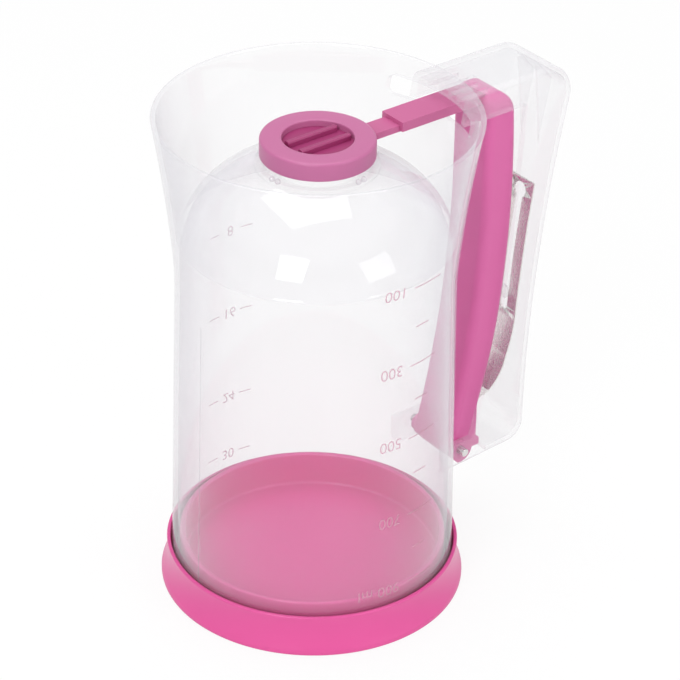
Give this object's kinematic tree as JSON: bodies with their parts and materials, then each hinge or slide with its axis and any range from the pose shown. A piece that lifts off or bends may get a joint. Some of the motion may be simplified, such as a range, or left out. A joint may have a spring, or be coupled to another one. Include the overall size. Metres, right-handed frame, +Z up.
{
  "type": "batter dispenser",
  "caption": "Clear batter dispenser standing on its push-on lid, with a squeeze trigger in a hollow handle that swings a flat valve off the neck of a domed end.",
  "frame": {"origin": "on the container's axis, at the bottom face of the lid that the object stands on", "axes": "+Z up along the container's axis towards the valve, +X towards the handle, +Y to the left seen from behind the handle"},
  "size_m": [0.155, 0.1098, 0.18],
  "materials": {
    "lid_pink": "satin moulded magenta plastic",
    "trigger_pink": "satin moulded magenta plastic",
    "arm_pink": "satin moulded magenta plastic",
    "cap_pink": "satin moulded magenta plastic",
    "insert_pink": "satin moulded dark magenta plastic",
    "silicone": "translucent soft silicone",
    "clear_wall": "polished clear plastic",
    "clear_dome": "polished clear plastic",
    "clear_neck": "polished clear plastic",
    "clear_handle": "polished clear plastic",
    "steel_pin": "turned stainless steel",
    "spring_steel": "rolled stainless spring strip"
  },
  "bodies": {
    "lid": {"lid_foot": "lid_pink", "lid_collar": "lid_pink", "lid_plug": "lid_pink", "lid_floor": "lid_pink", "lid_gasket": "silicone"},
    "jug": {"container_wall": "clear_wall", "container_skirt": "clear_wall", "dome_shoulder": "clear_dome", "dome_crown": "clear_dome", "neck_ring": "clear_neck", "handle_frame": "clear_handle", "pivot_pin": "steel_pin", "return_spring": "spring_steel", "spring_stud": "clear_handle"},
    "lever": {"squeeze_trigger": "trigger_pink", "valve_arm": "arm_pink", "valve_cap": "cap_pink", "valve_insert": "insert_pink", "valve_seal": "silicone"}
  },
  "joints": [
    {"name": "jug_lift", "type": "slide", "parent": "lid", "child": "jug", "axis": [0, 0, 1], "range_m": [0, 0.05]},
    {"name": "trigger_squeeze", "type": "hinge", "parent": "jug", "child": "lever", "pos_m": [0.0575, 0, 0.033], "axis": [0, 1, 0], "range_deg": [0, 6], "stiffness_Nm_per_rad": 3, "springref_deg": -5.73, "deforming": ["return_spring"]}
  ]
}
